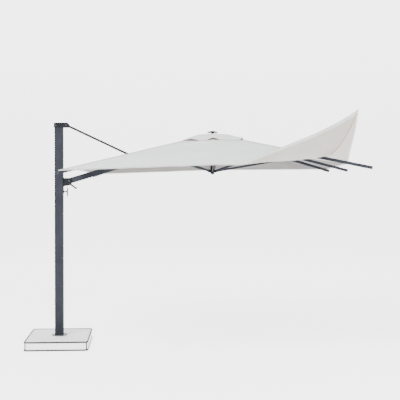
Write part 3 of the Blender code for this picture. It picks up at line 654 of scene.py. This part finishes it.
def build_quarter(quarter, materials):
    """One quarter of the canvas, from the vent's edge to the hem."""
    across_steps = steps_across(2 * COLUMNS)
    rows = shares(ROWS)
    points = [fabric_point(quarter, share, across) for share in rows for across in across_steps]
    faces = grid_faces(len(rows), len(across_steps))
    piece = make_piece("canvas_" + quarter, points, faces, materials["canvas"],
                       "rib_body_" + quarter)
    thicken(piece, CANVAS_THICKNESS)
    # the underside gets painted shade: the turned-up corner a lighter one, as if lit, the other quarters
    # a dark one
    inside = "canvas_turned_up_painted_light" if quarter == "near_right" else "canvas_inside_painted_shade"
    give_underside_painted_shade(piece, materials[inside])
    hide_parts(*QUARTERS[quarter][2])
    return piece


def build_hem(quarter, materials):
    """The turned hem along the two outer edges: over the canvas, round its edge and back under it."""
    points = []
    across_steps = steps_across(2 * COLUMNS)
    depth = HEM_WIDTH / CANOPY_HALF
    band = [(1.0 - depth, 0.0016), (1.0 - depth * 0.5, 0.0026), (1.0 + 0.001, 0.0022),
            (1.0 + 0.0015, 0.0), (1.0 + 0.001, -0.0022), (1.0 - depth * 0.5, -0.0026),
            (1.0 - depth, -0.0016)]
    for across in across_steps:
        for share, lift in band:
            points.append(raised(fabric_point(quarter, share, across), lift))
    count = len(band)
    faces = ring_faces(len(across_steps), count)
    faces.append(list(range(count)))
    faces.append([(len(across_steps) - 1) * count + step for step in range(count - 1, -1, -1)])
    return make_piece("hem_" + quarter, points, faces, materials["tape"],
                      "rib_body_" + quarter)


def build_seam_piping(quarter, materials):
    """The corded seam over the corner rib."""
    route = [raised(fabric_point(quarter, share, 0.0), PIPING_LIFT) for share in shares(PIPING_STEPS)]
    points, faces = tube_along(route, PIPING_RADIUS)
    return make_piece("piping_" + quarter, points, faces, materials["tape"],
                      "rib_body_" + quarter)


def build_inner_cord(quarter, materials):
    """The cord sewn under the loose corner's seam, coloured tan to paint the seam's warm glint."""
    route = [raised(fabric_point(quarter, share, 0.0), -CORD_DROP)
             for share in shares(CORD_STEPS, *CORD_SHARES)]
    points, faces = tube_along(route, CORD_RADIUS)
    return make_piece("inner_cord_" + quarter, points, faces, materials["cord"],
                      "rib_body_" + quarter)


def stitch_row(quarter, line, lift):
    """Short raised stitches between the places of a line of (share, across)."""
    solids = []
    spots = [raised(fabric_point(quarter, share, across), lift) for share, across in line]
    for first, second in zip(spots[:-1], spots[1:]):
        start = first.lerp(second, STITCH_SPAN[0])
        end = first.lerp(second, STITCH_SPAN[1])
        solids.append(tube_along([start, end], STITCH_RADIUS, 4))
    return solids


def build_stitching(quarter, materials):
    """Stitches along the hem and beside the corner seam."""
    solids = []
    hem_share = 1.0 - 0.8 * HEM_WIDTH / CANOPY_HALF
    hem_line = [(hem_share, across) for across in steps_across(HEM_STITCHES)]
    solids += stitch_row(quarter, hem_line, HEM_STITCH_LIFT)
    for side in (-1.0, 1.0):
        seam = [(share, side * STITCH_OFFSET / (hem_radius(quarter) * PANEL_WIDTH_SHARE * share))
                for share in shares(SEAM_STITCHES)]
        solids += stitch_row(quarter, seam, SEAM_STITCH_LIFT)
    points, faces = merged(solids)
    return make_piece("stitching_" + quarter, points, faces, materials["thread"],
                      "rib_body_" + quarter, 80.0)


def build_slit_binding(quarter, materials):
    """Bound edge of the opening that the tie passes through."""
    side = -1.0 if QUARTERS[quarter][0] == "left_mid" else 1.0
    low = (HUB_X - SLIT_X[1] - SLIT_BINDING_PAST) / CANOPY_HALF
    high = (HUB_X - SLIT_X[0] + SLIT_BINDING_PAST) / CANOPY_HALF
    route = [fabric_point(quarter, share, side) for share in shares(SLIT_STEPS, low, high)]
    points, faces = tube_along(route, SLIT_BINDING_RADIUS)
    return make_piece("slit_binding_" + quarter, points, faces, materials["tape"],
                      "rib_body_" + quarter)


def build_mid_tape(quarter, materials):
    """Tapes over the seams on the middle ribs."""
    pieces = []
    nearly_there = 0.97
    for index, side in enumerate((-1.0, 1.0)):
        if QUARTERS[quarter][index] == "left_mid":
            continue
        points = []
        for share in shares(TAPE_STEPS):
            centre = fabric_point(quarter, share, side)
            nearby = fabric_point(quarter, share, side * nearly_there)
            inner = (nearby - centre).normalized() * TAPE_WIDTH
            points += [raised(centre, TAPE_LIFT), raised(centre + inner, TAPE_LIFT)]
        piece = make_piece(f"mid_tape_{quarter}_{index}", points, grid_faces(TAPE_STEPS, 2),
                           materials["canvas"], "rib_body_" + quarter)
        thicken(piece, TAPE_THICKNESS)
        pieces.append(piece)
    return pieces


def flap_gap(quarter, across):
    """How far the flap's edge stands off the canopy, as a share of FLAP_GAP."""
    for start, end in FLAP_GAPS[quarter]:
        if start < across < end:
            return math.sin(math.pi * (across - start) / (end - start)) ** 0.7
    return 0.0


def flap_point(quarter, share, across):
    """The vent flap's surface: puffed out between the hub and its edge, which lifts in places."""
    point = fabric_point(quarter, share, across)
    radius = share * CANOPY_HALF
    along = min(max((radius - PUFF_FROM) / (FLAP_OUTER_HALF - PUFF_FROM), 0.0), 1.0)
    puff = FLAP_PUFF * math.sin(math.pi * along)
    ripple = noise.noise(Vector((share * 26.0, across * 5.0, RAYS[quarter][0] * 0.2)))
    edge = smooth_rise((radius - FLAP_EDGE_FROM) / (FLAP_OUTER_HALF - FLAP_EDGE_FROM))
    point.z += FLAP_CLEARANCE + FLAP_INNER_LIFT * (1.0 - along) + puff
    point.z += FLAP_GAP * edge * flap_gap(quarter, across)
    point.z += FLAP_RIPPLE * ripple * math.sin(math.pi * along) * min(1.0, 6.0 * (1.0 - abs(across)))
    return point


def build_flap(quarter, materials):
    """A vent flap with its bound edge and the seam over its corner."""
    rows = shares(FLAP_ROWS, FLAP_INNER_HALF / CANOPY_HALF, FLAP_OUTER_HALF / CANOPY_HALF)
    across_steps = steps_across(FLAP_COLUMNS)
    points = [flap_point(quarter, share, across) for share in rows for across in across_steps]
    piece = make_piece("vent_canvas_" + quarter, points, grid_faces(len(rows), len(across_steps)),
                       materials["canvas"], "rib_body_" + quarter)
    thicken(piece, CANVAS_THICKNESS)
    # the flap's underside gets the dark painted shade
    give_underside_painted_shade(piece, materials["canvas_inside_painted_shade"])
    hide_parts("vent_" + quarter)
    edge = [flap_point(quarter, rows[-1], across) for across in across_steps]
    edge_points, edge_faces = tube_along(edge, FLAP_BINDING_RADIUS)
    # the binding's tan paints the warm light seen in the gaps under the flap's edge
    binding = make_piece("vent_binding_" + quarter, edge_points, edge_faces, materials["cord"],
                         "rib_body_" + quarter)
    seam = [raised(flap_point(quarter, share, 0.0), FLAP_SEAM_LIFT) for share in rows]
    seam_points, seam_faces = tube_along(seam, FLAP_SEAM_RADIUS)
    seam_piece = make_piece("vent_seam_" + quarter, seam_points, seam_faces, materials["tape"],
                            "rib_body_" + quarter)
    return piece, [binding, seam_piece]


def build_canopy(materials):
    """The four quarters and vent flaps, each a sheet with its trims."""
    for quarter in QUARTERS:
        sheet = build_quarter(quarter, materials)
        trims = [build_hem(quarter, materials), build_seam_piping(quarter, materials),
                 build_stitching(quarter, materials)]
        trims += build_mid_tape(quarter, materials)
        if quarter == "near_right":
            trims.append(build_inner_cord(quarter, materials))
        if "left_mid" in QUARTERS[quarter]:
            trims.append(build_slit_binding(quarter, materials))
        flap, flap_trims = build_flap(quarter, materials)
        for piece in [sheet, flap] + trims + flap_trims:
            soften(piece)


# ---- Metalwork details ----

def dome(origin, axis, radius, height):
    """A low rivet head that stands on a face."""
    profile = [(0.0, 0.0)] + [(radius * math.cos(angle * DEGREES), height * math.sin(angle * DEGREES))
                              for angle in range(0, 90, 15)] + [(0.0, height)]
    return turned(profile, origin, axis, 16)


def build_rib_rivets(materials):
    """Rivet heads where each strut is pinned under its rib, and where each rib meets the crown."""
    for name in RIBS:
        across = tangent(name)
        head = Vector(JOINTS["strut_fold_" + name]["pos_m"])
        solids = [dome(head + across * side * STRUT_RIVET_FROM_AXIS, across * side, *STRUT_RIVET)
                  for side in (-1.0, 1.0)]
        points, faces = merged(solids)
        make_piece("strut_rivet_" + name, points, faces, materials["plated"],
                   "rib_body_" + name)
        pivot = rib_pivot(name)
        solids = [dome(pivot + across * side * RIB_RIVET_FROM_AXIS, across * side, *RIB_RIVET)
                  for side in (-1.0, 1.0)]
        points, faces = merged(solids)
        make_piece("rib_rivet_" + name, points, faces, materials["plated"],
                   "rib_body_" + name)


def flute(centre, face, half, inward, direction):
    """A groove's points as (along the face, out from the middle): mouth, floor, floor, mouth."""
    mouth, floor = half
    return [(centre + direction * mouth, face), (centre + direction * floor, face + inward),
            (centre - direction * floor, face + inward), (centre - direction * mouth, face)]


def mast_section():
    """The mast's outline seen from above, anticlockwise from the track, and its bottom and top."""
    low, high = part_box("mast_tube")
    half_x = high[0]
    half_y = high[1]
    corner = MAST_CORNER_RADIUS
    outline = [(half_x, MAST_TRACK_HALF)]
    outline += arc((half_x - corner, half_y - corner), corner, 0, 90, 4)
    for centre in SIDE_FLUTES:
        outline += flute(centre, half_y, SIDE_FLUTE_HALF, -FLUTE_DEPTH, 1.0)
    outline += arc((corner - half_x, half_y - corner), corner, 90, 180, 4)
    for centre in BACK_FLUTES:
        outline += [(x, y) for y, x in flute(centre, -half_x, BACK_FLUTE_HALF, FLUTE_DEPTH, 1.0)]
    outline += arc((corner - half_x, corner - half_y), corner, 180, 270, 4)
    for centre in reversed(SIDE_FLUTES):
        outline += flute(centre, -half_y, SIDE_FLUTE_HALF, FLUTE_DEPTH, -1.0)
    outline += arc((half_x - corner, corner - half_y), corner, 270, 360, 4)
    inner_x = half_x - MAST_WALL
    inner_y = half_y - MAST_WALL
    outline += [(half_x, -MAST_TRACK_HALF), (inner_x, -MAST_TRACK_HALF)]
    outline += [(inner_x, -inner_y), (-inner_x, -inner_y), (-inner_x, inner_y), (inner_x, inner_y)]
    outline += [(inner_x, MAST_TRACK_HALF)]
    return outline, low[2], high[2]


def build_mast(materials):
    """The fluted track profile, in place of the plain one."""
    outline, low, high = mast_section()
    count = len(outline)
    points = [Vector((x, y, z)) for z in (low, high) for x, y in outline]
    faces = [list(range(count)), list(range(2 * count - 1, count - 1, -1))]
    for index in range(count):
        after = (index + 1) % count
        faces.append([index, index + count, after + count, after])
    piece = make_piece("mast_profile", points, faces, materials["anthracite"], "mast",
                       30.0)
    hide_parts("mast_tube")


def slab_outline(inset, steps=8):
    """The slab's rounded outline, turned as the slab is."""
    half_x = SLAB_HALF[0] - inset
    half_y = SLAB_HALF[1] - inset
    radius = SLAB_CORNER_RADIUS - inset
    corners = ((1, 1, 0), (-1, 1, 90), (-1, -1, 180), (1, -1, 270))
    turn = Matrix.Rotation(SLAB_TURN_DEG * DEGREES, 2)
    points = []
    for sign_x, sign_y, start in corners:
        centre = (sign_x * (half_x - radius), sign_y * (half_y - radius))
        points += [turn @ Vector(point) for point in arc(centre, radius, start, start + 90, steps)]
    return points


def build_slab_trim(materials):
    """A slim dark bead round the slab's top and bottom edges, up its corners and round the collar."""
    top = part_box("ballast_slab")[1][2] - TRIM_SUNK
    bottom = TRIM_RADIUS
    rings = []
    for height in (top, bottom):
        route = [Vector((point.x, point.y, height)) for point in slab_outline(TRIM_SUNK)]
        rings.append(tube_along(route + route[:1], TRIM_RADIUS))
    corner_steps = len(slab_outline(0.0)) // 4
    for corner in range(4):
        spot = slab_outline(TRIM_SUNK)[corner * corner_steps + corner_steps // 2]
        route = [Vector((spot.x, spot.y, bottom)), Vector((spot.x, spot.y, top))]
        rings.append(tube_along(route, TRIM_RADIUS * 0.9))
    collar_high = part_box("base_collar")[1]
    route = [Vector((x, y, collar_high[2])) for x, y in arc((0.0, 0.0), collar_high[0], 0, 360, 36)]
    rings.append(tube_along(route, TRIM_RADIUS * 0.6))
    for index, (points, faces) in enumerate(rings):
        make_piece(f"slab_trim_{index + 1}", points, faces, materials["trim"], "base")


def build_collar_bolts(materials):
    """Cap screws through the collar into the slab."""
    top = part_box("base_collar")[1][2]
    for index in range(COLLAR_SCREWS):
        angle = (0.5 + index) * 2.0 * math.pi / COLLAR_SCREWS
        spot = Vector((COLLAR_SCREW_CIRCLE * math.cos(angle), COLLAR_SCREW_CIRCLE * math.sin(angle), top))
        points, faces = turned(COLLAR_SCREW_PROFILE, spot, UP, 18)
        make_piece(f"collar_screw_{index + 1}", points, faces, materials["plated"], "base")


def build_side_screws(materials):
    """A round screw head on each side of the mast cap, and the tie fork's pin heads."""
    cap_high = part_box("mast_cap")[1]
    fork_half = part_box("tie_lower_fork")[1][1]
    heads = (
        ("cap_screw_", "mast", CAP_SCREW, (CAP_SCREW_X, cap_high[1], cap_high[2] - CAP_SCREW_DROP)),
        ("fork_pin_head_", "tie", FORK_PIN_HEAD, (FORK_PIN_X, fork_half, FORK_PIN_Z)),
    )
    for name, body, size, (x, half_y, z) in heads:
        for side, word in ((-1.0, "near"), (1.0, "far")):
            points, faces = dome(Vector((x, half_y * side, z)), (0.0, side, 0.0), *size)
            make_piece(name + word, points, faces, materials["plated"], body)


def dress_frame(materials):
    """Give every visible CAD node its finish."""
    for node, piece in frame["nodes"].items():
        if node.startswith(("canopy_", "vent_")) or node == "mast_tube":
            continue
        if node in ("ballast_slab", "base_collar", "turning_foot"):
            finish = "stone"
        elif node.endswith("_pin") or node == "clamp_screw":
            finish = "plated"
        elif node.startswith("rib_tip_") or node in ("clamp_handle", "lever_grip", "carriage_shoe"):
            finish = "plastic"
        elif node.startswith(("rib_", "strut_")) or node in ("beam_tube", "tie_rod", "hub_post"):
            finish = "anthracite"
        else:
            finish = "casting"
        piece.data.materials.clear()
        piece.data.materials.append(materials[finish])


# ---- Studio ----

def build_studio():
    """A pale floor that curves up into a backdrop."""
    profile = [(FLOOR_FRONT_Y, 0.0)]
    profile += arc((FLOOR_BACK_Y, FLOOR_CURVE_RADIUS), FLOOR_CURVE_RADIUS, -90, 0, 15)
    profile += [(FLOOR_BACK_Y + FLOOR_CURVE_RADIUS, BACKDROP_TOP_Z)]
    sides = (-FLOOR_HALF_WIDTH, FLOOR_HALF_WIDTH)
    points = [Vector((x, y, z)) for y, z in profile for x in sides]
    mesh = bpy.data.meshes.new("studio_floor")
    mesh.from_pydata([tuple(point) for point in points], [], grid_faces(len(profile), 2))
    mesh.shade_smooth()
    floor = bpy.data.objects.new("studio_floor", mesh)
    shader = Shader("studio_paper")
    colour = shader.ramp(shader.noise(0.6, 2.0), [(0.3, (0.80, 0.80, 0.80)), (0.7, (0.81, 0.81, 0.81))])
    roughness = shader.spread(shader.noise(3.0), 0.90, 0.98)
    normal = shader.bump(shader.noise(200.0), 0.02, 0.0002)
    mesh.materials.append(shader.finish(colour, roughness, normal, Emission_Strength=BACKDROP_GLOW,
                                        Emission_Color=(1.0, 1.0, 1.0, 1.0)))
    bpy.context.collection.objects.link(floor)


def build_light(name, place, aim, size, power):
    """A rectangular lamp aimed at a point."""
    light = bpy.data.lights.new(name, "AREA")
    light.shape = "RECTANGLE"
    light.size, light.size_y = size
    light.energy = power
    lamp = bpy.data.objects.new(name, light)
    lamp.location = place
    direction = Vector(aim) - Vector(place)
    lamp.rotation_euler = direction.to_track_quat("-Z", "Y").to_euler()
    bpy.context.collection.objects.link(lamp)


def build_lighting():
    """An even white world with a key light and a fill."""
    world = bpy.data.worlds.new("studio_world")
    world.use_nodes = True
    background = world.node_tree.nodes["Background"]
    background.inputs["Color"].default_value = (1.0, 1.0, 1.0, 1.0)
    background.inputs["Strength"].default_value = WORLD_STRENGTH
    bpy.context.scene.world = world
    build_light("key_light", (-2.5, -7.0, 8.5), (1.4, 0.0, 1.6), (5.0, 4.0), KEY_POWER)
    build_light("fill_light", (7.0, -6.0, 3.5), (1.6, 0.0, 1.8), (4.0, 4.0), FILL_POWER)


def build_camera():
    """The camera, tipped slightly down."""
    data = bpy.data.cameras.new("camera")
    data.lens = CAMERA_LENS
    data.sensor_width = SENSOR_WIDTH
    camera = bpy.data.objects.new("camera", data)
    camera.location = CAMERA_PLACE
    camera.rotation_euler = ((90.0 - CAMERA_DROP_DEG) * DEGREES, 0.0, 0.0)
    bpy.context.collection.objects.link(camera)
    bpy.context.scene.camera = camera


finishes = make_materials()
dress_frame(finishes)
build_canopy(finishes)
build_rib_rivets(finishes)
build_mast(finishes)
build_slab_trim(finishes)
build_collar_bolts(finishes)
build_side_screws(finishes)
build_studio()
build_lighting()
build_camera()
